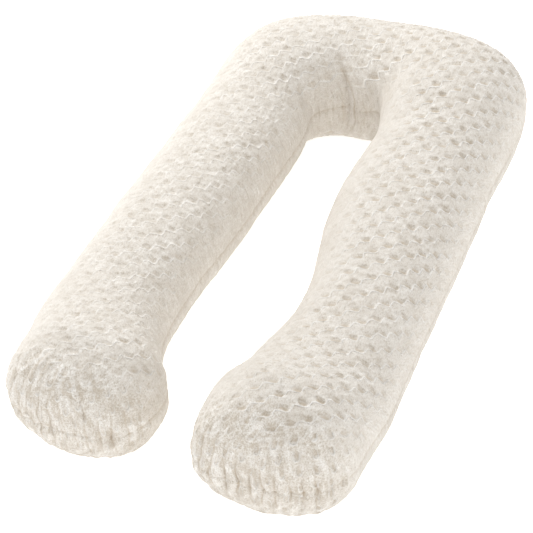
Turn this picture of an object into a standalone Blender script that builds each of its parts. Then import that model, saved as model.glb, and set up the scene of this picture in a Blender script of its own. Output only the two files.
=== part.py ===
"""A U-shaped pregnancy pillow lying on its back, as one filled cushion.

Metres, +Z up. The open end of the U points along -Y and the closed bend along
+Y. The origin is on the surface that the pillow lies on, under the middle of
its box. The left arm, at -X, has a nearly straight inner side and a small
rounded end. The right arm, at +X, swells inwards for the belly and ends in a
larger bulb.
"""
import math

import bpy
import bmesh
import numpy as np
from mathutils import Vector

# Outline and thickness of the filled cover, one row for each section across it.
# Each row gives its place, x and y of the point on the outer seam, x and y of the
# point on the inner seam, and the height of the cushion there, all in metres.
SECTIONS = (
    ("left end", -0.378, -0.583, -0.036, -0.583, 0.283),
    ("left bulb", -0.396, -0.483, -0.095, -0.483, 0.259),
    ("left neck", -0.404, -0.363, -0.132, -0.363, 0.238),
    ("left lower arm", -0.405, -0.203, -0.131, -0.203, 0.236),
    ("left middle", -0.402, -0.003, -0.117, -0.003, 0.238),
    ("left upper arm", -0.396, 0.197, -0.111, 0.197, 0.240),
    ("left shoulder", -0.391, 0.357, -0.112, 0.347, 0.248),
    ("left turn", -0.384, 0.492, -0.112, 0.396, 0.268),
    ("left corner", -0.324, 0.610, -0.070, 0.433, 0.281),
    ("bend", -0.025, 0.727, -0.014, 0.440, 0.275),
    ("right corner", 0.352, 0.630, 0.046, 0.437, 0.298),
    ("right turn", 0.386, 0.475, 0.061, 0.394, 0.286),
    ("right shoulder", 0.383, 0.357, 0.070, 0.354, 0.268),
    ("right upper arm", 0.386, 0.197, 0.064, 0.197, 0.259),
    ("right belly", 0.392, -0.003, 0.076, -0.003, 0.253),
    ("right waist", 0.397, -0.203, 0.117, -0.203, 0.243),
    ("right neck", 0.401, -0.363, 0.101, -0.363, 0.246),
    ("right bulb", 0.408, -0.483, 0.079, -0.483, 0.276),
    ("right end", 0.404, -0.583, 0.066, -0.583, 0.311),
)

# The rounded ends, past the first and the last row.
LEFT_TIP_Y = -0.730
RIGHT_TIP_Y = -0.728
LEFT_TIP_DRIFT = -0.003
RIGHT_TIP_DRIFT = -0.038
END_PLAN_POWER = 2.65
END_SIDE_POWER = 2.35
NOSE_REACH = 0.999

# The section: a full oval, a little square in the shoulders, that sits flat.
OVAL_POWER = 2.2
SEAM_SHARE = 0.472

# The seam joins the top and the bottom panel halfway up and draws the side in.
SEAM_DEPTH = 0.004
SEAM_REACH = 0.024

# One fold where the inner side is pinched at the bend.
FOLD_ROW = "bend"
FOLD_SHIFT = -0.110
FOLD_HALF_WIDTH = 0.055
FOLD_DEPTH = 0.016
FOLD_WRAP = 2.5

# Fineness of the surface.
RINGS_ALONG = 80
RINGS_IN_END = 8
POINTS_ROUND = 36
SHARP_ANGLE = math.radians(50.0)

COVER_COLOUR = (0.80, 0.76, 0.70, 1.0)
COVER_ROUGHNESS = 0.95


def row_numbers():
    """The sections' numbers as an array with one line for each row."""
    return np.array([row[1:] for row in SECTIONS])


def row_knots(rows):
    """Distance of each row along the line through the sections' middles."""
    middles = (rows[:, 0:2] + rows[:, 2:4]) / 2
    steps = np.linalg.norm(np.diff(middles, axis=0), axis=1)
    return np.concatenate(([0.0], np.cumsum(steps)))


def spline(knots, rows, places):
    """Cubic spline through the rows, read at the given places.

    It leaves both end rows straight along the arms, which run along Y.
    """
    count = len(knots)
    spans = np.diff(knots)
    slopes = np.diff(rows, axis=0) / spans[:, None]
    along_arm = np.array((0.0, 1.0, 0.0, 1.0, 0.0))
    matrix = np.zeros((count, count))
    right_side = np.zeros_like(rows)
    matrix[0, 0:2] = 2 * spans[0], spans[0]
    matrix[-1, -2:] = spans[-1], 2 * spans[-1]
    right_side[0] = 6 * (slopes[0] - along_arm)
    right_side[-1] = 6 * (-along_arm - slopes[-1])
    for i in range(1, count - 1):
        matrix[i, i - 1:i + 2] = spans[i - 1], 2 * (spans[i - 1] + spans[i]), spans[i]
        right_side[i] = 6 * (slopes[i] - slopes[i - 1])
    bends = np.linalg.solve(matrix, right_side)
    found = []
    for place in places:
        i = min(max(int(np.searchsorted(knots, place)) - 1, 0), count - 2)
        before = (knots[i + 1] - place) / spans[i]
        after = (place - knots[i]) / spans[i]
        bow = (before ** 3 - before) * bends[i] + (after ** 3 - after) * bends[i + 1]
        found.append(before * rows[i] + after * rows[i + 1] + bow * spans[i] ** 2 / 6)
    return np.array(found)


def shrink(share, power):
    """Size left at a share of the way into a rounded end."""
    return (1 - share ** power) ** (1 / power)


def end_sections(row, tip_y, drift):
    """Shrinking sections from an end row to its tip, nearest first.

    Each gives the two seam points, the height and the full height that sets
    how high the seam stands.
    """
    middle = (row[0:2] + row[2:4]) / 2
    half = (row[0:2] - row[2:4]) / 2
    found = []
    for step in range(1, RINGS_IN_END + 1):
        share = NOSE_REACH * math.sin(math.pi / 2 * step / RINGS_IN_END)
        centre = middle + np.array((drift * share ** 2, (tip_y - middle[1]) * share))
        reach = half * shrink(share, END_PLAN_POWER)
        height = row[4] * shrink(share, END_SIDE_POWER)
        found.append((centre + reach, centre - reach, height, row[4], 0.0))
    return found


def fold_share(place, knots):
    """How deep the fold at the bend is at a place along the cushion."""
    names = [row[0] for row in SECTIONS]
    middle = knots[names.index(FOLD_ROW)] + FOLD_SHIFT
    return math.exp(-((place - middle) / FOLD_HALF_WIDTH) ** 2)


def all_sections():
    """Every section of the cushion, from the left tip to the right tip."""
    rows = row_numbers()
    knots = row_knots(rows)
    places = np.linspace(0.0, knots[-1], RINGS_ALONG)
    lines = spline(knots, rows, places)
    body = []
    for place, line in zip(places, lines):
        body.append((line[0:2], line[2:4], line[4], line[4], fold_share(place, knots)))
    left = end_sections(lines[0], LEFT_TIP_Y, LEFT_TIP_DRIFT)
    right = end_sections(lines[-1], RIGHT_TIP_Y, RIGHT_TIP_DRIFT)
    return left[::-1] + body + right


def signed_power(value, power):
    """Power of a number's size that keeps its sign."""
    return math.copysign(abs(value) ** power, value)


def ring_points(outer, inner, height, full_height, fold):
    """Points round one section, from its outer seam up and over to the inner."""
    seam_z = SEAM_SHARE * full_height
    rise = (1 - SEAM_SHARE) * height
    middle = (outer + inner) / 2
    half = (outer - inner) / 2
    half_width = float(np.linalg.norm(half))
    points = []
    for step in range(POINTS_ROUND):
        angle = 2 * math.pi * step / POINTS_ROUND
        across = signed_power(math.cos(angle), 2 / OVAL_POWER)
        up = signed_power(math.sin(angle), 2 / OVAL_POWER) * rise
        drawn_in = SEAM_DEPTH * max(0.0, 1 - abs(up) / SEAM_REACH)
        facing_in = (1 - math.cos(angle)) / 2
        drawn_in += FOLD_DEPTH * fold * facing_in ** FOLD_WRAP
        keep = max(0.0, 1 - drawn_in / max(half_width, drawn_in + SEAM_DEPTH))
        x, y = middle + half * across * keep
        points.append((float(x), float(y), max(0.0, seam_z + up * keep)))
    return points


def middle_of_box(mesh):
    """Middle of the mesh's box in plan, at floor level."""
    xs = [vert.co.x for vert in mesh.verts]
    ys = [vert.co.y for vert in mesh.verts]
    return Vector(((min(xs) + max(xs)) / 2, (min(ys) + max(ys)) / 2, 0.0))


def cover_material():
    """Cream plush fabric."""
    material = bpy.data.materials.new("plush cover")
    material.use_nodes = True
    shader = material.node_tree.nodes["Principled BSDF"]
    shader.inputs["Base Color"].default_value = COVER_COLOUR
    shader.inputs["Roughness"].default_value = COVER_ROUGHNESS
    shader.inputs["Metallic"].default_value = 0.0
    return material


def make_pillow():
    """The filled cushion: rings bridged along the U and closed at both tips."""
    mesh = bmesh.new()
    rings = []
    for section in all_sections():
        rings.append([mesh.verts.new(point) for point in ring_points(*section)])
    for first, second in zip(rings, rings[1:]):
        for i in range(POINTS_ROUND):
            j = (i + 1) % POINTS_ROUND
            mesh.faces.new((first[i], first[j], second[j], second[i]))
    mesh.faces.new(rings[0])
    mesh.faces.new(rings[-1])
    bmesh.ops.translate(mesh, verts=mesh.verts, vec=-middle_of_box(mesh))
    bmesh.ops.triangulate(mesh, faces=mesh.faces)
    bmesh.ops.recalc_face_normals(mesh, faces=mesh.faces)
    data = bpy.data.meshes.new("pillow")
    mesh.to_mesh(data)
    mesh.free()
    data.shade_smooth()
    data.set_sharp_from_angle(angle=SHARP_ANGLE)
    data.materials.append(cover_material())
    pillow = bpy.data.objects.new("pillow", data)
    bpy.context.scene.collection.objects.link(pillow)
    return pillow


def main():
    """Clear the scene and model the pillow."""
    for thing in list(bpy.data.objects):
        bpy.data.objects.remove(thing, do_unlink=True)
    make_pillow()


main()
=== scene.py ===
"""Looks of the U-shaped pregnancy pillow: its plush cover, a floor, lights and a camera.

Metres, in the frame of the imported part. The cover is a top and a bottom panel,
sewn together halfway up. Each panel is cut flat to the outline of the U, so the
staggered dimples woven into the plush keep one direction all over the pillow.
"""
import math

import bpy
import numpy as np
from mathutils import Matrix, Vector


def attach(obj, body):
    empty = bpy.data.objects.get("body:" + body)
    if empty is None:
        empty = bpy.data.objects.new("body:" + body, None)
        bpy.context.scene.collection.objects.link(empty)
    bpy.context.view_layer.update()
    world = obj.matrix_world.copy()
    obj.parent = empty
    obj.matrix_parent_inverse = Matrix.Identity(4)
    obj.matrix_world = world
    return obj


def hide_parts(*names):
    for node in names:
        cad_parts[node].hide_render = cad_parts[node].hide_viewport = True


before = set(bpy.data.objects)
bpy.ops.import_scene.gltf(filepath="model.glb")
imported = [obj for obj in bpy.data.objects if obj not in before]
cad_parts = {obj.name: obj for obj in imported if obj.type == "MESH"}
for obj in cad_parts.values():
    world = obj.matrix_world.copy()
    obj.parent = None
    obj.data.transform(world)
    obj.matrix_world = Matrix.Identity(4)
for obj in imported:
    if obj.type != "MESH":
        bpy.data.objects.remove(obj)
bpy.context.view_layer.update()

# Outline and thickness of the filled cover, one row for each section across it:
# its place, the point on the outer seam, the point on the inner seam, the height.
SECTIONS = (
    ("left end", -0.378, -0.583, -0.036, -0.583, 0.283),
    ("left bulb", -0.396, -0.483, -0.095, -0.483, 0.259),
    ("left neck", -0.404, -0.363, -0.132, -0.363, 0.238),
    ("left lower arm", -0.405, -0.203, -0.131, -0.203, 0.236),
    ("left middle", -0.402, -0.003, -0.117, -0.003, 0.238),
    ("left upper arm", -0.396, 0.197, -0.111, 0.197, 0.240),
    ("left shoulder", -0.391, 0.357, -0.112, 0.347, 0.248),
    ("left turn", -0.384, 0.492, -0.112, 0.396, 0.268),
    ("left corner", -0.324, 0.610, -0.070, 0.433, 0.281),
    ("bend", -0.025, 0.727, -0.014, 0.440, 0.275),
    ("right corner", 0.352, 0.630, 0.046, 0.437, 0.298),
    ("right turn", 0.386, 0.475, 0.061, 0.394, 0.286),
    ("right shoulder", 0.383, 0.357, 0.070, 0.354, 0.268),
    ("right upper arm", 0.386, 0.197, 0.064, 0.197, 0.259),
    ("right belly", 0.392, -0.003, 0.076, -0.003, 0.253),
    ("right waist", 0.397, -0.203, 0.117, -0.203, 0.243),
    ("right neck", 0.401, -0.363, 0.101, -0.363, 0.246),
    ("right bulb", 0.408, -0.483, 0.079, -0.483, 0.276),
    ("right end", 0.404, -0.583, 0.066, -0.583, 0.311),
)
LEFT_TIP_Y = -0.730
RIGHT_TIP_Y = -0.728
LEFT_TIP_DRIFT = -0.003
RIGHT_TIP_DRIFT = -0.038
END_PLAN_POWER = 2.65
END_SIDE_POWER = 2.35
OVAL_POWER = 2.2
SEAM_SHARE = 0.472

# Fineness of the cover's mesh.
ALONG_STEP = 0.0024
END_ARC = 0.25
TOP_STEPS_ROUND = 174
BOTTOM_STEPS_ROUND = 62
TOP_PIECES = ("left_arm", "bend", "right_arm")

# The woven pattern: staggered dimples in the raised plush, two in each repeat.
REPEAT_X = 0.0523
REPEAT_Y = 0.0495
FIRST_DIMPLE = (0.0078, 0.0074)
DIMPLE_HALF_X = 0.0112
DIMPLE_HALF_Y = 0.0062
DIMPLE_DEPTH = 0.0034
RIM_HEIGHT = 0.0013
STEP_DEPTH = 0.0022
STEP_REACH = 0.004
LIP_DROP = 0.16
LIP_SLOPE = 0.25
LIP_SLANT = 0.04
LIP_HALF_WIDTH = 0.0020
LIP_FAR = 0.0060
FAR_REACH = 3.0
LIP_TURN = 0.45
DIMPLE_POWER = 2.6
DIMPLE_SHIFT_X = 0.08
DIMPLE_SHIFT_Y = 0.06
LEAST_SIZE = 0.90
SIZE_SPREAD = 0.22
LEAST_DEPTH = 0.60
DEPTH_SPREAD = 0.50
TURN_SPREAD = 0.2
SLIT_NARROWER = 0.55
SLIT_LONGER = 0.70
HOLLOW_EDGE = (0.50, 1.25)
RIM_REACH = 1.35
RIM_WIDTH = 0.28
RIM_SIDE = (-0.7, 0.7)
STEP_EDGE = (-0.0005, 0.003)
WOBBLE_SIZE = 0.011
WOBBLE = 0.0012
RAGGED_SIZE = 0.005
RAGGED = 0.0005

# The pile, its lie, and how strongly painted shade and highlight follow the slopes of the pattern
# and the pile; they are weaker on faces turned to the key light and add painted shade to the
# rounded ends.
PILE_STROKES = 0.0008
FINE_STROKES = 0.0048
FINE_STROKES_DOWN = 0.0052
BROAD_STROKES = 0.010
BROAD_SHARE = 0.8
FINE_STRETCH = (1.0, 2.4)
FINE_STRETCH_DOWN = (1.0, 3.2)
BROAD_STRETCH_DOWN = (1.0, 2.2)
STROKE_WAVER = 0.004
STROKE_WAVER_SIZE = 0.02
END_TUFTS = 0.0024
END_TUFT_WIDTH = 0.016
END_TUFT_STRETCH = (1.0, 1.8)
NAP_ALONG = (0.45, -0.89)
NAP_ACROSS = (0.89, 0.45)
SLOPE_LIGHT_STEP = 0.0016
TONE_MIDDLE = 0.5
PATTERN_SLOPE_LIGHT = 0.30
PILE_SLOPE_LIGHT = 1.0
END_SHADE = 0.10
TOWARD_KEY_SMOOTHER = 0.55
END_ROUGHER = 0.8
END_FALL_START = 0.07
END_FALL_FULL = 0.16
JOIN_REACH = 0.03
JOIN_SHARE = 0.2

# Where the pattern shows: heights above the seam, sides and ends.
END_SHARE = (0.1, 0.75)
CLEAR_OF_SEAM = (0.02, 0.11)
CLEAR_IN_ENDS = 0.75
ON_TOP = (0.05, 0.11)
BUNCHED_SHIFT = 0.05
BUNCHED_REACH = 0.11
BUNCHED_SIDE = (0.55, 0.85)
PATCH_SIZE = 0.10
PATCH_MIDDLE = 0.85
PATCH_SPREAD = 0.30
TOWARD_KEY_FACING = (0.10, 0.65)
BRUSHED_PLACE = (-0.20, 0.0)
BRUSHED_LEAST = 0.3
SEAM_LEAST = 0.15
TOWARD_KEY_FLATTER = 0.7
BUNCHED_FLATTER = 0.75
NAP_FLATTER = 0.28
END_FLATTER = 0.5

# Soft lumps of the filling.
LUMP = 0.0022
LUMP_SIZE = 0.10
SMALL_LUMP = 0.0010
SMALL_LUMP_SIZE = 0.035

# Colours of the plush, partly used as painted shade (root and backing) and painted highlight
# (tip), and how ruffled the edges of its dimples are.
PILE = (0.780, 0.735, 0.672)
PILE_TIP_AND_HIGHLIGHT = (0.98, 0.955, 0.91)
PILE_ROOT_AND_SHADE = (0.56, 0.495, 0.41)
BACKING_AND_SHADE = (0.55, 0.455, 0.34)
RUFFLE = 0.35
PILE_GRAIN = (300.0, 300.0, 300.0)
STROKE_GRAIN = (380.0, 150.0, 380.0)
STREAK_GRAIN = (260.0, 40.0, 1.0)
STRAND_GRAIN = (95.0, 95.0, 95.0)
PATCH_GRAIN = (22.0, 22.0, 22.0)
DIMPLE_FLOOR_BACKING_AND_SHADE = 0.7
CREASE_SHADE_SHOWN = 0.75
STRANDS_SHOWN = 0.22
STREAKS_SHOWN = 0.35
DULL_SHOWN = 0.25
FLUFF_SHOWN = 1.9

# The seam, its gathers, and the fold at the inner side of the bend, with painted shade in their
# creases.
SEAM_DEPTH = 0.0038
SEAM_HALF_WIDTH = 0.0040
GATHER_REACH = 0.040
GATHER_REACH_AT_ENDS = 0.085
GATHER_REACH_AT_FOLD = 0.100
GATHER_WAVE = 0.030
GATHER_AT_ENDS = 0.0080
GATHER_SHARE = (0.25, 0.85)
GATHER_SIDE = (0.35, 0.9)
GATHER_PAST_FOLD = 0.06
GATHER_FOLD_REACH = 0.10
GATHER_WANDER = 0.006
GATHER_WANDER_SIZE = 0.03
GATHER_SHARPNESS = 0.7
GATHER_PATCH_SIZE = 0.035
GATHER_PATCH_STRETCH = 0.4
GATHER_LEVEL = 0.6
GATHER_SPREAD = 0.5
CREASE_SHADE_DEPTH = 0.0028
FOLD_SHADE_SHARE = 0.08
SEAM_SHADE = 0.5
SEAM_SHADE_HALF_WIDTH = 0.002
SEAM_POWER = 1.2
RELIEF_SHADE_PER_METRE = 16.0
GATHER_ALONG_ARMS = 0.0006
GATHER_AT_FOLD = 0.0070
FOLD_ROW = "bend"
FOLD_SHIFT = -0.110
FOLD_HALF_WIDTH = 0.012
FOLD_DEPTH = 0.006
FOLD_POWER = 1.3
FOLD_SIDE = (0.66, 0.95)
FOLD_RISE = (0.04, 0.12)
FOLD_WAVER = 0.004
FOLD_WAVER_SIZE = 0.05
HOLLOW_HALF_WIDTH = 0.050
HOLLOW_DEPTH = 0.009
BEND_SWELL = 0.008
BEND_SWELL_Z = 0.035
BEND_SWELL_REACH = 0.05
BEND_SWELL_ALONG = 0.22
BEND_SWELL_SIDE = (0.6, 0.8)

# The white studio floor is lit from below as well, as on a light table.
FLOOR_GLOW = 0.48
FLOOR_REACH = 12.0
FLOOR_HEIGHT = -0.0005
SURROUNDINGS = 0.96
KEY_PLACE = (-3.0, 1.9, 2.9)
KEY_POWER = 98.0
KEY_SIZE = 1.5

# Camera and image.
CAMERA_TARGET = (-0.0204, -0.1100, 0.1)
CAMERA_DISTANCE = 3.6175
CAMERA_AZIMUTH = math.radians(26.91)
CAMERA_ELEVATION = math.radians(44.30)
CAMERA_ROLL = math.radians(-4.26)
CAMERA_LENS = 107.8
CAMERA_SENSOR = 36.0


def section_lines(places):
    """Sections at places along the cushion, by a cubic spline through the rows.

    The spline leaves both end rows straight along the arms.
    """
    rows = np.array([row[1:] for row in SECTIONS])
    knots = section_knots()
    count = len(knots)
    spans = np.diff(knots)
    slopes = np.diff(rows, axis=0) / spans[:, None]
    along_arm = np.array((0.0, 1.0, 0.0, 1.0, 0.0))
    matrix = np.zeros((count, count))
    right_side = np.zeros_like(rows)
    matrix[0, 0:2] = 2 * spans[0], spans[0]
    matrix[-1, -2:] = spans[-1], 2 * spans[-1]
    right_side[0] = 6 * (slopes[0] - along_arm)
    right_side[-1] = 6 * (-along_arm - slopes[-1])
    for i in range(1, count - 1):
        matrix[i, i - 1:i + 2] = spans[i - 1], 2 * (spans[i - 1] + spans[i]), spans[i]
        right_side[i] = 6 * (slopes[i] - slopes[i - 1])
    bends = np.linalg.solve(matrix, right_side)
    i = np.clip(np.searchsorted(knots, places) - 1, 0, count - 2)
    span = spans[i][:, None]
    before = (knots[i + 1] - places)[:, None] / span
    after = (places - knots[i])[:, None] / span
    bow = (before ** 3 - before) * bends[i] + (after ** 3 - after) * bends[i + 1]
    return before * rows[i] + after * rows[i + 1] + bow * span ** 2 / 6


def section_knots():
    """Distance of each row along the line through the sections' middles."""
    rows = np.array([row[1:] for row in SECTIONS])
    middles = (rows[:, 0:2] + rows[:, 2:4]) / 2
    steps = np.linalg.norm(np.diff(middles, axis=0), axis=1)
    return np.concatenate(([0.0], np.cumsum(steps)))


def end_lines(line, tip_y, drift, count):
    """Shrinking sections from an end row to its tip, nearest first."""
    share = np.sin(np.linspace(0.0, math.pi / 2, count + 1)[1:])
    middle = (line[0:2] + line[2:4]) / 2
    half = (line[0:2] - line[2:4]) / 2
    shift = np.stack((drift * share ** 2, (tip_y - middle[1]) * share), axis=1)
    centre = middle + shift
    keep = (1 - share ** END_PLAN_POWER) ** (1 / END_PLAN_POWER)
    rise = (1 - share ** END_SIDE_POWER) ** (1 / END_SIDE_POWER)
    reach = half * keep[:, None]
    height = line[4] * rise
    full = np.full(count, line[4])
    return np.column_stack((centre + reach, centre - reach, height, full, share))


def all_sections(step):
    """Every section from the left tip to the right tip, one line each.

    The columns are the outer point, the inner point, the height, the full
    height, the share of the way into a rounded end and the place along.
    """
    length = section_knots()[-1]
    places = np.linspace(0.0, length, int(length / step))
    lines = section_lines(places)
    ends = int(END_ARC / step)
    left = end_lines(lines[0], LEFT_TIP_Y, LEFT_TIP_DRIFT, ends)
    right = end_lines(lines[-1], RIGHT_TIP_Y, RIGHT_TIP_DRIFT, ends)
    body = np.column_stack((lines, lines[:, 4], np.zeros(len(lines)), places))
    left = np.column_stack((left, np.full(ends, 0.0)))[::-1]
    right = np.column_stack((right, np.full(ends, length)))
    return np.vstack((left, body, right))


def signed_power(values, power):
    """Power of each number's size that keeps its sign."""
    return np.sign(values) * np.abs(values) ** power


def cushion_points(sections, angles):
    """Smooth surface of the filled cushion, a row for each section.

    The angle is zero at the outer seam, a quarter turn at the top and half a
    turn at the inner seam. The underside is flat where it lies.
    """
    outer, inner = sections[:, 0:2], sections[:, 2:4]
    height, full = sections[:, 4], sections[:, 5]
    across = signed_power(np.cos(angles), 2 / OVAL_POWER)
    up = signed_power(np.sin(angles), 2 / OVAL_POWER)
    middle = ((outer + inner) / 2)[:, None, :]
    half = ((outer - inner) / 2)[:, None, :]
    points = np.empty((len(sections), len(angles), 3))
    points[:, :, 0:2] = middle + half * across[None, :, None]
    rise = (SEAM_SHARE * full)[:, None] + ((1 - SEAM_SHARE) * height)[:, None] * up
    points[:, :, 2] = np.maximum(rise, 0.0)
    return points


def grid_normals(points):
    """Outward unit normals of a grid of points."""
    along = np.gradient(points, axis=0)
    round_it = np.gradient(points, axis=1)
    normals = np.cross(round_it, along)
    lengths = np.linalg.norm(normals, axis=2, keepdims=True)
    return normals / np.maximum(lengths, 1e-12)


def cloth_distance(share, flatness):
    """Distance over the crown to a share of the half width, in half widths."""
    share = np.clip(share, 0.0, 1.0)
    return share + flatness ** 1.4 * (np.arcsin(share) - share)


def cloth_places(sections, angles):
    """Where each point lies on its panel while the panel is still flat."""
    outer, inner = sections[:, 0:2], sections[:, 2:4]
    half = (outer - inner) / 2
    width = np.linalg.norm(half, axis=1)
    side = half / np.maximum(width, 1e-9)[:, None]
    across = signed_power(np.cos(angles), 2 / OVAL_POWER)
    rise = (1 - SEAM_SHARE) * sections[:, 5]
    middle = (outer + inner) / 2
    reach = cloth_distance(np.abs(across)[None, :], (rise / np.maximum(width, 1e-9))[:, None])
    signed = np.sign(across)[None, :] * reach * width[:, None]
    flat = middle[:, None, :] + side[:, None, :] * signed[:, :, None]
    for end_rows, tip_y in ends_of(sections, LEFT_TIP_Y, RIGHT_TIP_Y):
        flat[end_rows] = end_cloth_places(sections, end_rows, across, tip_y)
    return flat


def ends_of(sections, left_value, right_value):
    """The rows of each rounded end, with the value given for that end."""
    in_end = sections[:, 6] > 0
    first_half = np.arange(len(sections)) < len(sections) // 2
    return ((in_end & first_half, left_value), (in_end & ~first_half, right_value))


def end_cloth_places(sections, end_rows, across, tip_y):
    """Flat places in a rounded end, measured out from the top of its first row."""
    rows = sections[end_rows]
    row = 0 if tip_y == LEFT_TIP_Y else -1
    line = np.array(SECTIONS[row][1:])
    centre = (line[0:2] + line[2:4]) / 2
    half_width = abs(line[0] - line[2]) / 2
    reach_y = centre[1] - tip_y
    keep = (1 - rows[:, 6] ** END_PLAN_POWER) ** (1 / END_PLAN_POWER)
    side = math.copysign(1.0, line[0] - line[2])
    dx = side * half_width * keep[:, None] * across[None, :]
    dy = np.broadcast_to(-reach_y * rows[:, 6][:, None], dx.shape)
    share = (np.abs(dx / half_width) ** END_PLAN_POWER
             + np.abs(dy / reach_y) ** END_PLAN_POWER) ** (1 / END_PLAN_POWER)
    radius = np.hypot(dx, dy)
    edge = radius / np.maximum(share, 1e-9)
    rise = (1 - SEAM_SHARE) * line[4]
    out = cloth_distance(share, rise / edge) * edge / np.maximum(radius, 1e-9)
    return centre + np.stack((dx * out, dy * out), axis=2)


def cell_noise(cells, seed):
    """One repeatable number from 0 to 1 for each cell of whole numbers."""
    weights = np.array((127.1, 311.7, 74.7))[:cells.shape[-1]]
    mixed = np.sin(cells @ weights + seed * 19.19) * 43758.5453
    return mixed - np.floor(mixed)


def soft_noise(places, size, seed):
    """Smooth noise from -1 to 1 with lumps of the given size."""
    scaled = places / size
    base = np.floor(scaled)
    part = scaled - base
    part = part * part * (3 - 2 * part)
    count = places.shape[-1]
    total = np.zeros(places.shape[:-1])
    for corner in range(2 ** count):
        bits = np.array([(corner >> axis) & 1 for axis in range(count)])
        weight = np.prod(np.where(bits, part, 1 - part), axis=-1)
        total += weight * cell_noise(base + bits, seed)
    return total * 2 - 1


def smooth_step(low, high, values):
    """Smooth rise from 0 at low to 1 at high."""
    part = np.clip((values - low) / (high - low), 0.0, 1.0)
    return part * part * (3 - 2 * part)


def fall_in_ends(places):
    """How far places are into a rounded end, from 0 to 1, and which way is down.

    The way down is an angle from -Y, as the cloth falls away all round an end.
    """
    into = np.zeros(places.shape[:-1])
    fall = np.zeros(places.shape[:-1])
    for row, side in ((0, -1), (-1, 1)):
        line = np.array(SECTIONS[row][1:])
        off = places - (line[0:2] + line[2:4]) / 2
        here = places[..., 0] * side > 0
        share = smooth_step(END_FALL_START, END_FALL_FULL, np.hypot(off[..., 0], off[..., 1]))
        share = share * smooth_step(0.0, END_FALL_START, -off[..., 1])
        into = np.where(here, share, into)
        fall = np.where(here, np.arctan2(off[..., 0], -off[..., 1]), fall)
    return into, fall


def dimple_reach(flat, half_step):
    """Distance to the nearest dimple of one set, in dimple sizes.

    Each dimple is a little off its place, and has its own size, depth and turn.
    Round the ends they close up into slits that run down the side. The other
    values are the depth, and how much each point is on the side where the pile
    stands up as a lip.
    """
    repeat = np.array((REPEAT_X, REPEAT_Y))
    scaled = (flat - FIRST_DIMPLE) / repeat - half_step
    cell = np.round(scaled)
    seed = 3 if half_step else 11
    shift_x = (cell_noise(cell, seed) - 0.5) * DIMPLE_SHIFT_X
    shift_y = (cell_noise(cell, seed + 1) - 0.5) * DIMPLE_SHIFT_Y
    size = LEAST_SIZE + SIZE_SPREAD * cell_noise(cell, seed + 2)
    depth = LEAST_DEPTH + DEPTH_SPREAD * cell_noise(cell, seed + 3)
    into, fall = fall_in_ends((cell + half_step) * repeat + FIRST_DIMPLE)
    turn = (cell_noise(cell, seed + 4) - 0.5) * TURN_SPREAD + into * fall
    off = scaled - cell
    dx = (off[..., 0] - shift_x) * REPEAT_X
    dy = (off[..., 1] - shift_y) * REPEAT_Y
    along = (dx * np.cos(turn) + dy * np.sin(turn)) / (DIMPLE_HALF_X * (1 - SLIT_NARROWER * into))
    across = (dy * np.cos(turn) - dx * np.sin(turn)) / (DIMPLE_HALF_Y * (1 + SLIT_LONGER * into))
    reach = (np.abs(along) ** DIMPLE_POWER + np.abs(across) ** DIMPLE_POWER) ** (1 / DIMPLE_POWER)
    near = (along * LIP_TURN - across) / np.maximum(reach, 1e-6)
    return reach / size, depth, np.clip(near, -1.0, 1.0)


def to_segment(points, start, end):
    """Distance of each point from a straight segment."""
    span = np.subtract(end, start)
    share = np.clip((points - start) @ span / (span @ span), 0.0, 1.0)
    return np.linalg.norm(points - start - share[..., None] * span, axis=-1)


def lip_lines(flat):
    """Signed distance to the edge where the raised tufts end, clear of the hollows.

    The edge runs in stairs over the cloth: along the near side of a dimple, then
    up past its right end to the near side of the next one. It is positive on the
    side of the dimples.
    """
    repeat = np.array((REPEAT_X, REPEAT_Y))
    scaled = (flat - FIRST_DIMPLE) / repeat
    column = np.round(2 * scaled[..., 0]) / 2
    across = scaled[..., 0] - column
    above = scaled[..., 1] - scaled[..., 0] + LIP_DROP
    above = above - np.round(above)
    place = np.stack((across, above + across), axis=-1)
    left_end = np.array((-0.25, -0.25 * LIP_SLOPE))
    right_end = np.array((0.25 - LIP_SLANT, 0.25 * LIP_SLOPE))
    next_end = left_end + 0.5
    best = np.full(flat.shape[:-1], LIP_FAR)
    for step in (-0.5, 0.0, 0.5):
        there = (place - step) * repeat
        for start, end in ((left_end, right_end), (right_end, next_end)):
            best = np.minimum(best, to_segment(there, start * repeat, end * repeat))
    side = np.where(above + (1 - LIP_SLOPE) * across >= 0, 1.0, -1.0)
    return best * side


def woven_relief(flat):
    """Height of the woven pattern, and the values that colour it."""
    wobble = np.stack([soft_noise(flat, WOBBLE_SIZE, seed) for seed in (31, 32)], axis=-1)
    ragged = np.stack([soft_noise(flat, RAGGED_SIZE, seed) for seed in (33, 34)], axis=-1)
    placed = flat + wobble * WOBBLE + ragged * RAGGED
    first = dimple_reach(placed, 0.0)
    second = dimple_reach(placed, 0.5)
    closer = first[0] < second[0]
    reach, depth, near = (np.where(closer, a, b) for a, b in zip(first, second))
    into = fall_in_ends(flat)[0]
    hollow = depth * (1 - smooth_step(*HOLLOW_EDGE, reach))
    rim = depth * np.exp(-((reach - RIM_REACH) / RIM_WIDTH) ** 2) * smooth_step(*RIM_SIDE, near)
    edge = lip_lines(placed)
    lip = np.exp(-(edge / LIP_HALF_WIDTH) ** 2) * (1 - into)
    step = smooth_step(*STEP_EDGE, edge) * np.exp(-np.maximum(edge, 0.0) / STEP_REACH)
    height = RIM_HEIGHT * (rim * into + lip) - DIMPLE_DEPTH * hollow
    height = height - STEP_DEPTH * step * (1 - into)
    turn = edge / LIP_FAR * math.pi
    lip_way = np.stack((np.cos(turn), np.sin(turn), 1 - into), axis=-1)
    return height, np.minimum(reach, FAR_REACH), near, into, lip_way


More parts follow.
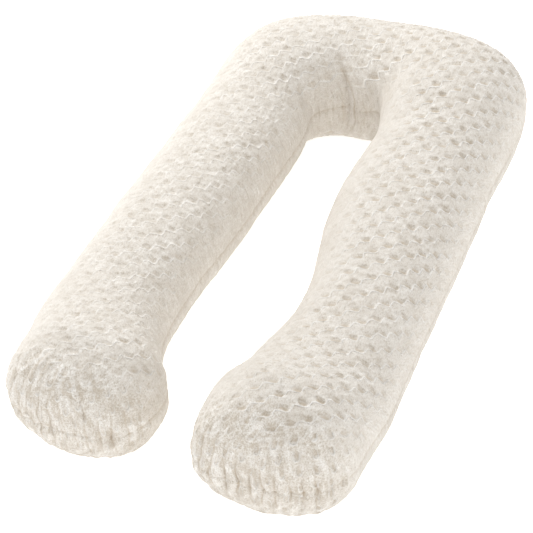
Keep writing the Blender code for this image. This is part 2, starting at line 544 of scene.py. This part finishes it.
def pile_relief(flat, wall, on_top):
    """Strokes of the pile, a few millimetres wide, laid along the nap.

    On top the nap lies across the dimples, and on the sides it runs down.
    """
    turned = np.stack((flat @ NAP_ACROSS, flat @ NAP_ALONG), axis=-1)
    crown = soft_noise(turned / FINE_STRETCH, FINE_STROKES, 73)
    crown = crown + BROAD_SHARE * soft_noise(turned, BROAD_STROKES, 74)
    waver = STROKE_WAVER * soft_noise(wall, STROKE_WAVER_SIZE, 77)
    wavy = wall + waver[..., None] * (1.0, 0.0)
    sides = soft_noise(wavy / FINE_STRETCH_DOWN, FINE_STROKES_DOWN, 75)
    sides = sides + BROAD_SHARE * soft_noise(wavy / BROAD_STRETCH_DOWN, BROAD_STROKES, 76)
    return PILE_STROKES * (crown * on_top + sides * (1 - on_top))


def seam_distance(points, sections):
    """Height above or below the seam, as a distance over the cloth."""
    seam_z = (SEAM_SHARE * sections[:, 5])[:, None]
    return np.abs(points[:, :, 2] - seam_z)


def inner_side(angles):
    """How far each angle faces the inner side, from 0 to 1."""
    return (1 - np.cos(angles)) / 2


def gather_strength(sections, angles):
    """How strongly the cloth is gathered along the seam, and how far from it."""
    share = sections[:, 6][:, None]
    ends = smooth_step(*GATHER_SHARE, share)
    place = sections[:, 7][:, None]
    past_fold = place - fold_place() - GATHER_PAST_FOLD
    near_fold = np.exp(-(past_fold / GATHER_FOLD_REACH) ** 2) * (sections[:, 6] == 0)[:, None]
    near_fold = near_fold * smooth_step(*GATHER_SIDE, inner_side(angles))[None, :]
    strength = GATHER_ALONG_ARMS + (GATHER_AT_ENDS - GATHER_ALONG_ARMS) * ends
    strength = strength + GATHER_AT_FOLD * near_fold
    reach = GATHER_REACH + (GATHER_REACH_AT_ENDS - GATHER_REACH) * ends
    return strength, reach + (GATHER_REACH_AT_FOLD - GATHER_REACH) * near_fold


def fold_place():
    """Place of the fold along the cushion."""
    names = [row[0] for row in SECTIONS]
    return section_knots()[names.index(FOLD_ROW)] + FOLD_SHIFT


def seam_run(points, sections):
    """Distance along the cushion at each angle, which turns round the rounded ends."""
    steps = np.linalg.norm(np.diff(points, axis=0), axis=2)
    run = np.concatenate((np.zeros((1, points.shape[1])), np.cumsum(steps, axis=0)))
    for end_rows, row in ends_of(sections, 0, -1):
        line = np.array(SECTIONS[row][1:])
        centre = (line[0:2] + line[2:4]) / 2
        radius = abs(line[0] - line[2]) / 2
        off = points[end_rows][:, :, 0:2] - centre
        turn = np.arctan2(-off[..., 1], off[..., 0])
        run[end_rows] = (row - 1) * 5.0 + turn * radius
    return run


def near_end_rows(sections):
    """How close each section is to the rows where the rounded ends begin."""
    length = section_knots()[-1]
    to_row = np.minimum(sections[:, 7], length - sections[:, 7])
    along = np.exp(-(to_row / JOIN_REACH) ** 2)
    return np.where(sections[:, 6] > 0, np.exp(-(sections[:, 6] / JOIN_SHARE) ** 2), along)


def gathers(points, sections, angles):
    """Ridges across the seam, which die away from it."""
    run = seam_run(points, sections)
    away = seam_distance(points, sections)
    wander = soft_noise(np.stack((run, away), axis=-1), GATHER_WANDER_SIZE, 51)
    bent = run + GATHER_WANDER * wander
    ridge = np.abs(np.sin(math.pi * bent / GATHER_WAVE)) ** GATHER_SHARPNESS
    wave = GATHER_LEVEL - 2 * GATHER_LEVEL * ridge
    patch = np.stack((run, away * GATHER_PATCH_STRETCH), axis=-1)
    mixed = wave * (GATHER_LEVEL + GATHER_SPREAD * soft_noise(patch, GATHER_PATCH_SIZE, 52))
    strength, reach = gather_strength(sections, angles)
    return -mixed * strength * np.exp(-away / reach)


def fold_relief(sections, angles, points):
    """The pinched fold down the inner side of the bend."""
    place = sections[:, 7][:, None]
    waver = FOLD_WAVER * soft_noise(points[:, :, 2:3] + 0.5, FOLD_WAVER_SIZE, 53)
    off = (place - fold_place() - waver) / FOLD_HALF_WIDTH
    inner = smooth_step(*FOLD_SIDE, inner_side(angles))[None, :]
    valid = (sections[:, 6] == 0)[:, None] * smooth_step(*FOLD_RISE, points[:, :, 2])
    slit = FOLD_DEPTH * np.exp(-np.abs(off) ** FOLD_POWER)
    wide = HOLLOW_DEPTH * np.exp(-(off * FOLD_HALF_WIDTH / HOLLOW_HALF_WIDTH) ** 2)
    return -(slit + wide) * inner * valid


def cover_relief(points, sections, angles):
    """Everything that stands out of the smooth cushion, and values for its looks, among them
    painted shade and painted highlight.

    The pattern is flattened near the seam of the arms, and on faces turned to the key light,
    where its painted shade and highlight are also weaker. The nap of the left arm lies over its
    dimples, so they are shallower there.
    """
    flat = cloth_places(sections, angles)
    away = seam_distance(points, sections)
    wall = np.stack((seam_run(points, sections), away), axis=-1)
    in_end = smooth_step(*END_SHARE, sections[:, 6])[:, None]
    clear = smooth_step(*CLEAR_OF_SEAM, away)
    clear = clear + (1 - clear) * CLEAR_IN_ENDS * in_end
    on_top = np.maximum(smooth_step(*ON_TOP, away), near_end_rows(sections)[:, None])
    from_fold = sections[:, 7][:, None] - fold_place() - BUNCHED_SHIFT
    bunched = np.exp(-(from_fold / BUNCHED_REACH) ** 2) * (sections[:, 6] == 0)[:, None]
    bunched = bunched * smooth_step(*BUNCHED_SIDE, inner_side(angles))[None, :]
    patchy = PATCH_MIDDLE + PATCH_SPREAD * soft_noise(points, PATCH_SIZE, 61)
    # Faces turned left, towards the key light: the pattern is flattened there and its painted
    # shade and highlight are weaker, standing in for strong light.
    toward_key = smooth_step(*TOWARD_KEY_FACING, -grid_normals(points)[:, :, 0]) * (1 - in_end)
    brushed = smooth_step(*BRUSHED_PLACE, points[:, :, 0])
    brushed = BRUSHED_LEAST + (1 - BRUSHED_LEAST) * brushed
    strength = patchy * (SEAM_LEAST + (1 - SEAM_LEAST) * clear)
    strength = strength * (1 - TOWARD_KEY_FLATTER * toward_key) * (1 - BUNCHED_FLATTER * bunched)
    woven = strength * (1 - NAP_FLATTER + NAP_FLATTER * brushed)
    woven = woven * (1 - END_FLATTER * in_end * (1 - brushed))

    def fine_relief(shift):
        moved = shift * np.array(NAP_ALONG)
        pattern, *looks = woven_relief(flat + moved)
        pile = pile_relief(flat + moved, wall + moved, on_top)
        tufts = soft_noise((wall + moved) / END_TUFT_STRETCH, END_TUFT_WIDTH, 79)
        return pattern * woven, pile + END_TUFTS * in_end * tufts, looks

    pattern, pile, (reach, near, into, lip_way) = fine_relief(0.0)
    next_pattern, next_pile = fine_relief(SLOPE_LIGHT_STEP)[0:2]
    # Painted shade and highlight: darker in the hollows and lighter on raised rims and lips,
    # lighter on slopes turned back-left towards the key light and darker on those turned away.
    shade_and_tone = TONE_MIDDLE + pattern * RELIEF_SHADE_PER_METRE
    shade_and_tone += PATTERN_SLOPE_LIGHT * (next_pattern - pattern) / SLOPE_LIGHT_STEP
    ruffled = 1 - TOWARD_KEY_SMOOTHER * toward_key + END_ROUGHER * in_end
    # Painted light and shade on the slopes of the pile strokes too, and painted shade over the
    # rounded ends.
    shade_and_tone += PILE_SLOPE_LIGHT * ruffled * (next_pile - pile) / SLOPE_LIGHT_STEP - END_SHADE * in_end
    lumps = LUMP * soft_noise(points, LUMP_SIZE, 71)
    lumps += SMALL_LUMP * soft_noise(points, SMALL_LUMP_SIZE, 72)
    groove = -SEAM_DEPTH * np.exp(-(away / SEAM_HALF_WIDTH) ** SEAM_POWER)
    gathered = gathers(points, sections, angles)
    folded = fold_relief(sections, angles, points)
    # Painted shade in the gathers and the fold, and along the seam line.
    crease_shade = -(gathered + FOLD_SHADE_SHARE * folded) / CREASE_SHADE_DEPTH
    crease_shade += SEAM_SHADE * np.exp(-(away / SEAM_SHADE_HALF_WIDTH) ** 2)
    values = {"reach": reach, "near": near, "woven": strength, "brushed": brushed,
              "crease_shade": np.clip(crease_shade, 0.0, 1.0), "shade_and_tone": np.clip(shade_and_tone, 0.0, 1.0),
              "ruffled": ruffled, "into": into, "lip": lip_way}
    low = np.exp(-((points[:, :, 2] - BEND_SWELL_Z) / BEND_SWELL_REACH) ** 2)
    swell = BEND_SWELL * low * np.exp(-(from_fold / BEND_SWELL_ALONG) ** 4)
    swell = swell * smooth_step(*BEND_SWELL_SIDE, inner_side(angles))
    return pattern + pile + lumps + groove + gathered + folded + swell, values, wall


def panel_grid(sections, angles):
    """The finished surface of one panel as a grid with its extra values."""
    smooth = cushion_points(sections, angles)
    height, values, wall = cover_relief(smooth, sections, angles)
    points = smooth + grid_normals(smooth) * height[:, :, None]
    points[:, :, 2] = np.maximum(points[:, :, 2], 0.0)
    values["wall"] = np.concatenate((wall, np.zeros_like(wall[:, :, 0:1])), axis=-1)
    return {"points": points, "normals": grid_normals(points), "values": values}


def make_piece(name, grid, rows, material):
    """A mesh from some rows of a panel's grid, with its cloth coordinates."""
    points = grid["points"][rows]
    count, round_count = points.shape[:2]
    index = np.arange(count * round_count).reshape(count, round_count)
    quads = np.stack((index[:-1, :-1], index[:-1, 1:], index[1:, 1:], index[1:, :-1]), axis=-1)
    quads = quads.reshape(-1, 4)
    mesh = bpy.data.meshes.new(name)
    mesh.vertices.add(index.size)
    mesh.vertices.foreach_set("co", points.reshape(-1).astype(np.float32))
    mesh.loops.add(quads.size)
    mesh.loops.foreach_set("vertex_index", quads.reshape(-1).astype(np.int32))
    mesh.polygons.add(len(quads))
    mesh.polygons.foreach_set("loop_start", np.arange(0, quads.size, 4, dtype=np.int32))
    mesh.update(calc_edges=True)
    mesh.shade_smooth()
    for label, values in grid["values"].items():
        add_values(mesh, label, values[rows])
    normals = grid["normals"][rows].reshape(-1, 3)
    mesh.normals_split_custom_set_from_vertices(normals.tolist())
    mesh.materials.append(material)
    piece = bpy.data.objects.new(name, mesh)
    bpy.context.scene.collection.objects.link(piece)
    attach(piece, "root")
    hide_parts("pillow")
    return piece


def add_values(mesh, name, values):
    """A named value or vector for each vertex, which the material reads."""
    kind, key = ("FLOAT_VECTOR", "vector") if values.ndim == 3 else ("FLOAT", "value")
    attribute = mesh.attributes.new(name, kind, "POINT")
    attribute.data.foreach_set(key, values.reshape(-1).astype(np.float32))


def make_cover(material):
    """The top panel in three lengths and the bottom panel in one."""
    coarser = 1
    sections = all_sections(ALONG_STEP * coarser)
    middle = box_middle(sections)
    top_angles = np.linspace(0.0, math.pi, TOP_STEPS_ROUND // coarser + 1)
    bottom_angles = np.linspace(math.pi, 2 * math.pi, BOTTOM_STEPS_ROUND // coarser + 1)
    top = panel_grid(sections, top_angles)
    bottom = panel_grid(sections, bottom_angles)
    for grid in (top, bottom):
        grid["points"][:, :, 0:2] -= middle
    count = len(sections)
    cuts = [round(count * i / len(TOP_PIECES)) for i in range(len(TOP_PIECES) + 1)]
    for label, start, stop in zip(TOP_PIECES, cuts, cuts[1:]):
        rows = slice(start, min(stop + 1, count))
        make_piece("top_panel_" + label, top, rows, material)
    make_piece("bottom_panel", bottom, slice(0, count), material)


def box_middle(sections):
    """Middle of the smooth cushion's box in plan."""
    points = cushion_points(sections, np.linspace(0.0, 2 * math.pi, 36, endpoint=False))
    plan = points[:, :, 0:2].reshape(-1, 2)
    return (plan.min(axis=0) + plan.max(axis=0)) / 2


def add_node(tree, kind, **settings):
    """A shader node with its settings."""
    node = tree.nodes.new(kind)
    for name, value in settings.items():
        setattr(node, name, value)
    return node


def attribute_node(tree, name):
    """Reads one of the mesh's named values."""
    return add_node(tree, "ShaderNodeAttribute", attribute_type="GEOMETRY", attribute_name=name)


def stretched_noise(tree, source, scale, detail):
    """Noise over coordinates stretched by a scale for each axis."""
    mapping = add_node(tree, "ShaderNodeMapping")
    mapping.inputs["Scale"].default_value = scale
    tree.links.new(source, mapping.inputs["Vector"])
    noise = add_node(tree, "ShaderNodeTexNoise")
    noise.inputs["Scale"].default_value = 1.0
    noise.inputs["Detail"].default_value = detail
    noise.inputs["Roughness"].default_value = 0.6
    tree.links.new(mapping.outputs["Vector"], noise.inputs["Vector"])
    return noise.outputs["Fac"]


def math_node(tree, operation, first, second):
    """One sum on two values, each a socket or a number."""
    node = add_node(tree, "ShaderNodeMath", operation=operation)
    for value, socket in zip((first, second), node.inputs):
        if isinstance(value, bpy.types.NodeSocket):
            tree.links.new(value, socket)
        else:
            socket.default_value = value
    return node.outputs["Value"]


def step_node(tree, value, low, high):
    """Smooth rise of a value from 0 at low to 1 at high."""
    node = add_node(tree, "ShaderNodeMapRange", interpolation_type="SMOOTHSTEP")
    tree.links.new(value, node.inputs["Value"])
    node.inputs["From Min"].default_value = low
    node.inputs["From Max"].default_value = high
    return node.outputs["Result"]


def mix_colour(tree, share, first, second):
    """A colour between two, each a socket or a colour."""
    node = add_node(tree, "ShaderNodeMix", data_type="RGBA")
    tree.links.new(share, node.inputs["Factor"])
    for value, socket in ((first, node.inputs[6]), (second, node.inputs[7])):
        if isinstance(value, bpy.types.NodeSocket):
            tree.links.new(value, socket)
        else:
            socket.default_value = value + (1.0,)
    return node.outputs[2]


def bump_node(tree, height, strength, distance, normal):
    """Raises or sinks the surface by a value, on top of another bump."""
    node = add_node(tree, "ShaderNodeBump")
    node.inputs["Strength"].default_value = strength
    node.inputs["Distance"].default_value = distance
    tree.links.new(height, node.inputs["Height"])
    if normal:
        tree.links.new(normal, node.inputs["Normal"])
    return node.outputs["Normal"]


def strands(tree, place):
    """Thin wavy lines where tufts of the pile part."""
    noise = stretched_noise(tree, place, STRAND_GRAIN, 2.0)
    off = math_node(tree, "ABSOLUTE", math_node(tree, "SUBTRACT", noise, 0.5), 0.0)
    return math_node(tree, "SUBTRACT", 1.0, step_node(tree, off, 0.0, 0.035))


def dimple_shade_and_highlight(tree, ruffle):
    """Shares of dimple floor, partly the backing's own colour and partly painted shade in the
    hollow, and of painted highlight on rims and lips, with ruffled edges.
    """
    reach = attribute_node(tree, "reach").outputs["Fac"]
    near = attribute_node(tree, "near").outputs["Fac"]
    woven = attribute_node(tree, "woven").outputs["Fac"]
    brushed = attribute_node(tree, "brushed").outputs["Fac"]
    into = attribute_node(tree, "into").outputs["Fac"]
    ruffled = math_node(tree, "SUBTRACT", ruffle, 0.5)
    ruffled = math_node(tree, "MULTIPLY", ruffled, RUFFLE)
    reach = math_node(tree, "ADD", reach, ruffled)
    # Dimple floor: the backing's own colour, and painted shade in the hollow.
    inside = math_node(tree, "SUBTRACT", 1.0, step_node(tree, reach, 0.55, 1.15))
    covered = math_node(tree, "SUBTRACT", 1.0, step_node(tree, near, -0.9, 0.35))
    covered = math_node(tree, "MULTIPLY", covered, step_node(tree, reach, 0.0, 0.8))
    bare = math_node(tree, "SUBTRACT", 1.0, math_node(tree, "MULTIPLY", covered, 0.85))
    inside = math_node(tree, "MULTIPLY", inside, bare)
    shown = math_node(tree, "SUBTRACT", 1.0, math_node(tree, "MULTIPLY", into, 0.5))
    inside = math_node(tree, "MULTIPLY", inside, shown)
    floor = math_node(tree, "MULTIPLY", math_node(tree, "MULTIPLY", inside, woven), brushed)
    # Painted highlight on the rim round each dimple, stronger on its near side, whose wall faces
    # the key light.
    rim_in = step_node(tree, reach, 0.95, 1.12)
    rim_out = math_node(tree, "SUBTRACT", 1.0, step_node(tree, reach, 1.25, 1.5))
    rim = math_node(tree, "MULTIPLY", rim_in, rim_out)
    lit_side = math_node(tree, "MULTIPLY", step_node(tree, near, -0.1, 0.6), 0.6)
    rim = math_node(tree, "MULTIPLY", rim, math_node(tree, "ADD", lit_side, 0.25))
    rim = math_node(tree, "MULTIPLY", rim, into)
    lip = lip_highlight(tree, ruffled)
    rim = math_node(tree, "MULTIPLY", rim, woven)
    lip = math_node(tree, "MULTIPLY", lip, math_node(tree, "POWER", woven, 0.7))
    crisp = math_node(tree, "ADD", math_node(tree, "MULTIPLY", brushed, 0.5), 0.45)
    lip = math_node(tree, "MULTIPLY", lip, crisp)
    rim = math_node(tree, "MAXIMUM", rim, lip)
    return floor, rim


def lip_highlight(tree, ruffled):
    """Share of the painted highlight along the thin edge of the tufts."""
    lip = attribute_node(tree, "lip").outputs["Vector"]
    parts = add_node(tree, "ShaderNodeSeparateXYZ")
    tree.links.new(lip, parts.inputs["Vector"])
    way = math_node(tree, "ARCTAN2", parts.outputs["Y"], parts.outputs["X"])
    shaken = math_node(tree, "MULTIPLY", ruffled, 2.0)
    way = math_node(tree, "ABSOLUTE", math_node(tree, "ADD", way, shaken), 0.0)
    line = math_node(tree, "SUBTRACT", 1.0, step_node(tree, way, 0.30, 0.95))
    return math_node(tree, "MULTIPLY", line, parts.outputs["Z"])


def plush_material():
    """Cream plush: short pile, paler at its tips, with streaks on the sides, and painted shade
    and highlight over its relief.
    """
    material = bpy.data.materials.new("cream_plush")
    material.use_nodes = True
    tree = material.node_tree
    shader = tree.nodes["Principled BSDF"]
    shader.inputs["Roughness"].default_value = 0.95
    shader.inputs["Specular IOR Level"].default_value = 0.2
    shader.inputs["Sheen Weight"].default_value = 0.25
    shader.inputs["Sheen Roughness"].default_value = 0.5
    shader.inputs["Sheen Tint"].default_value = (1.0, 0.98, 0.95, 1.0)
    wall = attribute_node(tree, "wall").outputs["Vector"]
    place = add_node(tree, "ShaderNodeTexCoord").outputs["Object"]
    pile = stretched_noise(tree, place, PILE_GRAIN, 3.0)
    streaks = stretched_noise(tree, wall, STREAK_GRAIN, 3.0)
    strokes = stretched_noise(tree, place, STROKE_GRAIN, 2.0)
    patches = stretched_noise(tree, place, PATCH_GRAIN, 3.0)
    floor, rim = dimple_shade_and_highlight(tree, pile)
    away = add_node(tree, "ShaderNodeSeparateXYZ")
    tree.links.new(wall, away.inputs["Vector"])
    on_top = step_node(tree, away.outputs["Y"], 0.05, 0.125)
    streaky = math_node(tree, "SUBTRACT", 1.0, math_node(tree, "MULTIPLY", on_top, 0.75))
    dark_streak = math_node(tree, "SUBTRACT", 1.0, step_node(tree, streaks, 0.30, 0.56))
    dark_streak = math_node(tree, "MULTIPLY", dark_streak, streaky)
    dark_streak = math_node(tree, "MULTIPLY", dark_streak, STREAKS_SHOWN)
    fluff = math_node(tree, "ADD", math_node(tree, "MULTIPLY", pile, 0.5),
                      math_node(tree, "MULTIPLY", strokes, 0.5))
    # Painted shade and highlight from the relief, with random fluff on top, set the colour
    # between root, pile and tip colours.
    shade_and_tone = attribute_node(tree, "shade_and_tone").outputs["Fac"]
    ruffled = math_node(tree, "SUBTRACT", fluff, 0.5)
    ruffled = math_node(tree, "MULTIPLY", ruffled, FLUFF_SHOWN)
    roughness = attribute_node(tree, "ruffled").outputs["Fac"]
    shade_and_tone = math_node(tree, "ADD", shade_and_tone, math_node(tree, "MULTIPLY", ruffled, roughness))
    colour = mix_colour(tree, step_node(tree, shade_and_tone, 0.0, 0.55), PILE_ROOT_AND_SHADE, PILE)
    colour = mix_colour(tree, step_node(tree, shade_and_tone, 0.50, 1.0), colour, PILE_TIP_AND_HIGHLIGHT)
    colour = mix_colour(tree, dark_streak, colour, PILE_ROOT_AND_SHADE)
    strand = math_node(tree, "MULTIPLY", strands(tree, place), STRANDS_SHOWN)
    colour = mix_colour(tree, strand, colour, PILE_TIP_AND_HIGHLIGHT)
    # Dimple floors take the backing colour: partly their own colour, partly painted shade in the
    # hollow.
    colour = mix_colour(tree, math_node(tree, "MULTIPLY", floor, DIMPLE_FLOOR_BACKING_AND_SHADE), colour, BACKING_AND_SHADE)
    # Painted highlight on the rims and the tufts' lips.
    colour = mix_colour(tree, rim, colour, PILE_TIP_AND_HIGHLIGHT)
    # Painted shade in the creases of the gathers, the fold and the seam.
    crease_shade = attribute_node(tree, "crease_shade").outputs["Fac"]
    colour = mix_colour(tree, math_node(tree, "MULTIPLY", crease_shade, CREASE_SHADE_SHOWN), colour, BACKING_AND_SHADE)
    dull = math_node(tree, "SUBTRACT", 1.0, step_node(tree, patches, 0.3, 0.65))
    colour = mix_colour(tree, math_node(tree, "MULTIPLY", dull, DULL_SHOWN), colour, PILE_ROOT_AND_SHADE)
    tree.links.new(colour, shader.inputs["Base Color"])
    normal = bump_node(tree, rim, 0.8, 0.002, None)
    normal = bump_node(tree, fluff, 1.0, 0.004, normal)
    normal = bump_node(tree, streaks, 0.5, 0.003, normal)
    tree.links.new(normal, shader.inputs["Normal"])
    return material


def make_floor():
    """A plain pale floor, level with the underside."""
    mesh = bpy.data.meshes.new("floor")
    corners = ((-1, -1), (1, -1), (1, 1), (-1, 1))
    points = [(x * FLOOR_REACH, y * FLOOR_REACH, FLOOR_HEIGHT) for x, y in corners]
    mesh.from_pydata(points, [], [(0, 1, 2, 3)])
    floor = bpy.data.objects.new("floor", mesh)
    bpy.context.scene.collection.objects.link(floor)
    material = bpy.data.materials.new("floor_white")
    material.use_nodes = True
    shader = material.node_tree.nodes["Principled BSDF"]
    shader.inputs["Base Color"].default_value = (1.0, 1.0, 1.0, 1.0)
    shader.inputs["Emission Color"].default_value = (1.0, 1.0, 1.0, 1.0)
    shader.inputs["Emission Strength"].default_value = FLOOR_GLOW
    shader.inputs["Roughness"].default_value = 0.9
    mesh.materials.append(material)


def make_area_light(name, place, power, size):
    """A soft square light that faces the middle of the pillow."""
    data = bpy.data.lights.new(name, "AREA")
    data.energy = power
    data.size = size
    light = bpy.data.objects.new(name, data)
    light.location = place
    light.rotation_mode = "QUATERNION"
    light.rotation_quaternion = Vector(place).to_track_quat("Z", "Y")
    bpy.context.scene.collection.objects.link(light)


def make_lights():
    """White surroundings, with the key light high behind on the left."""
    world = bpy.data.worlds.new("studio")
    world.use_nodes = True
    background = world.node_tree.nodes["Background"]
    background.inputs["Color"].default_value = (1.0, 1.0, 1.0, 1.0)
    background.inputs["Strength"].default_value = SURROUNDINGS
    bpy.context.scene.world = world
    make_area_light("key", KEY_PLACE, KEY_POWER, KEY_SIZE)


def make_camera():
    """The photograph's viewing angle, as a direction, a distance and a roll."""
    flat = math.cos(CAMERA_ELEVATION)
    back = Vector((math.sin(CAMERA_AZIMUTH) * flat, -math.cos(CAMERA_AZIMUTH) * flat,
                   math.sin(CAMERA_ELEVATION)))
    right = back.cross(Vector((0.0, 0.0, -1.0))).normalized()
    up = back.cross(right)
    turned = right * math.cos(CAMERA_ROLL) + up * math.sin(CAMERA_ROLL)
    turned_up = up * math.cos(CAMERA_ROLL) - right * math.sin(CAMERA_ROLL)
    data = bpy.data.cameras.new("camera")
    data.lens = CAMERA_LENS
    data.sensor_width = CAMERA_SENSOR
    camera = bpy.data.objects.new("camera", data)
    axes = Matrix((turned, turned_up, back)).transposed()
    place = Vector(CAMERA_TARGET) + back * CAMERA_DISTANCE
    camera.matrix_world = Matrix.Translation(place) @ axes.to_4x4()
    bpy.context.scene.collection.objects.link(camera)
    bpy.context.scene.camera = camera


make_camera()
make_cover(plush_material())
make_floor()
make_lights()
bpy.context.scene.view_settings.view_transform = "Standard"
